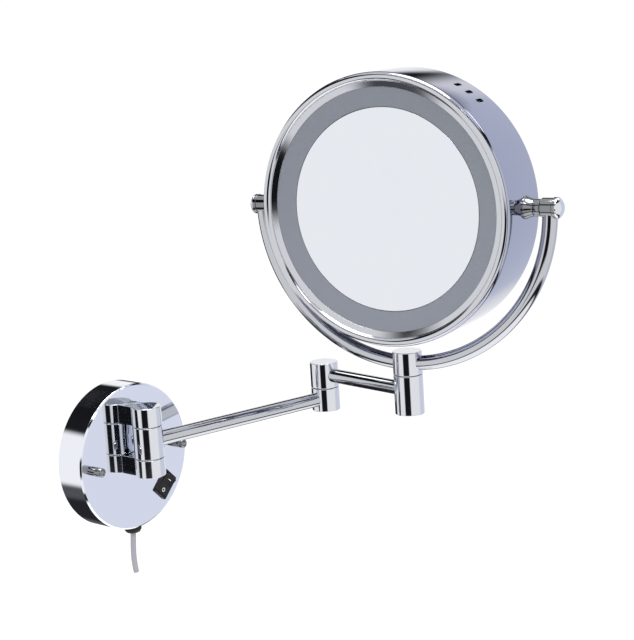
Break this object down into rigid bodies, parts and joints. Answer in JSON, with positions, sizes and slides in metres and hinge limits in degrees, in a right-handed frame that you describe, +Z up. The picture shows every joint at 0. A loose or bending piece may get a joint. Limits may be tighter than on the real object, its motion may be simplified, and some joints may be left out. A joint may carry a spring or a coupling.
{
  "type": "extendable shaving mirror",
  "caption": "Round lit double-sided mirror in a swivelling fork, on a hinged double arm from a round chrome wall plate with a rocker switch and a cord tail.",
  "frame": {"origin": "centre of the wall plate's back face, on the wall", "axes": "+Y into the wall, -Y out into the room, +Z up, +X to the right when facing the wall"},
  "size_m": [0.2631, 0.3203, 0.3938],
  "materials": {
    "cover_chrome": "mirror polished chrome plate",
    "barrel_chrome": "polished chrome plate",
    "tube_chrome": "polished chrome plate",
    "drum_chrome": "polished chrome plate",
    "bezel_chrome": "polished chrome plate",
    "plated_steel": "zinc plated",
    "switch_plastic": "fine grained black",
    "rocker_plastic": null,
    "terminal_brass": "plain",
    "grommet_rubber": "moulded",
    "cord_sheath": "pale grey soft sheath",
    "lead_sheath": "soft sheath",
    "case_plastic": "white case",
    "washer_nylon": "black nylon",
    "tray_plastic": "white moulded",
    "frosted_ring": "frosted translucent acrylic",
    "lamp_board": "white solder mask",
    "lamp": "lamp package",
    "mirror_glass": "silvered glass"
  },
  "bodies": {
    "wall_base": {"wall_cover": "cover_chrome", "mounting_plate": "plated_steel", "cover_studs": "plated_steel", "cap_nuts": "barrel_chrome", "switch_housing": "switch_plastic", "switch_terminals": "terminal_brass", "cord_grommet": "grommet_rubber", "power_cord": "cord_sheath", "led_driver": "case_plastic", "terminal_block": "case_plastic", "knuckle_lower_lug": "barrel_chrome", "knuckle_upper_lug": "barrel_chrome", "lug_screws": "plated_steel", "knuckle_pin": "plated_steel", "knuckle_lower_washer": "washer_nylon", "knuckle_upper_washer": "washer_nylon"},
    "rocker": {"switch_rocker": "rocker_plastic"},
    "long_arm": {"knuckle_sleeve": "barrel_chrome", "long_arm_tube": "tube_chrome", "long_arm_lead": "lead_sheath", "elbow_lower": "barrel_chrome", "elbow_pin": "plated_steel", "elbow_washer": "washer_nylon"},
    "short_arm": {"elbow_upper": "barrel_chrome", "short_arm_tube": "tube_chrome", "short_arm_lead": "lead_sheath", "hub_lower": "barrel_chrome", "hub_washer": "washer_nylon"},
    "fork": {"hub_upper": "barrel_chrome", "hub_pin": "plated_steel", "yoke_tube": "tube_chrome", "yoke_lead": "lead_sheath", "right_fork_end": "barrel_chrome", "right_pivot_cap": "barrel_chrome", "right_tilt_axle": "plated_steel", "right_friction_washer": "plated_steel", "left_fork_end": "barrel_chrome", "left_pivot_cap": "barrel_chrome", "left_tilt_axle": "plated_steel", "left_friction_washer": "plated_steel"},
    "head": {"drum_housing": "drum_chrome", "right_pivot_boss": "barrel_chrome", "right_boss_nut": "plated_steel", "left_pivot_boss": "barrel_chrome", "left_boss_nut": "plated_steel", "front_bezel": "bezel_chrome", "front_light_ring": "frosted_ring", "front_light_tray": "tray_plastic", "front_lamp_board": "lamp_board", "front_lamps": "lamp", "plain_mirror": "mirror_glass", "rear_bezel": "bezel_chrome", "rear_light_ring": "frosted_ring", "rear_light_tray": "tray_plastic", "rear_lamp_board": "lamp_board", "rear_lamps": "lamp", "magnifying_mirror": "mirror_glass"}
  },
  "joints": [
    {"name": "wall_swivel", "type": "hinge", "parent": "wall_base", "child": "long_arm", "pos_m": [0, -0.0423, 0.0148], "axis": [0, 0, 1], "range_deg": [-166, 13]},
    {"name": "elbow_swivel", "type": "hinge", "parent": "long_arm", "child": "short_arm", "pos_m": [0.17405, -0.08409, 0.0248], "axis": [0, 0, 1], "range_deg": [-81, 249]},
    {"name": "fork_swivel", "type": "hinge", "parent": "short_arm", "child": "fork", "pos_m": [0.16093, -0.18241, 0.0489], "axis": [0, 0, 1], "range_deg": [-170, 170]},
    {"name": "head_tilt", "type": "hinge", "parent": "fork", "child": "head", "pos_m": [0.16093, -0.18241, 0.1862], "axis": [0.1452, -0.9894, 0], "range_deg": [-180, 180]},
    {"name": "rocker_tilt", "type": "hinge", "parent": "wall_base", "child": "rocker", "pos_m": [0.03043, -0.0259, -0.03151], "axis": [-0.7071, 0, 0.7071], "range_deg": [0, 16]}
  ]
}
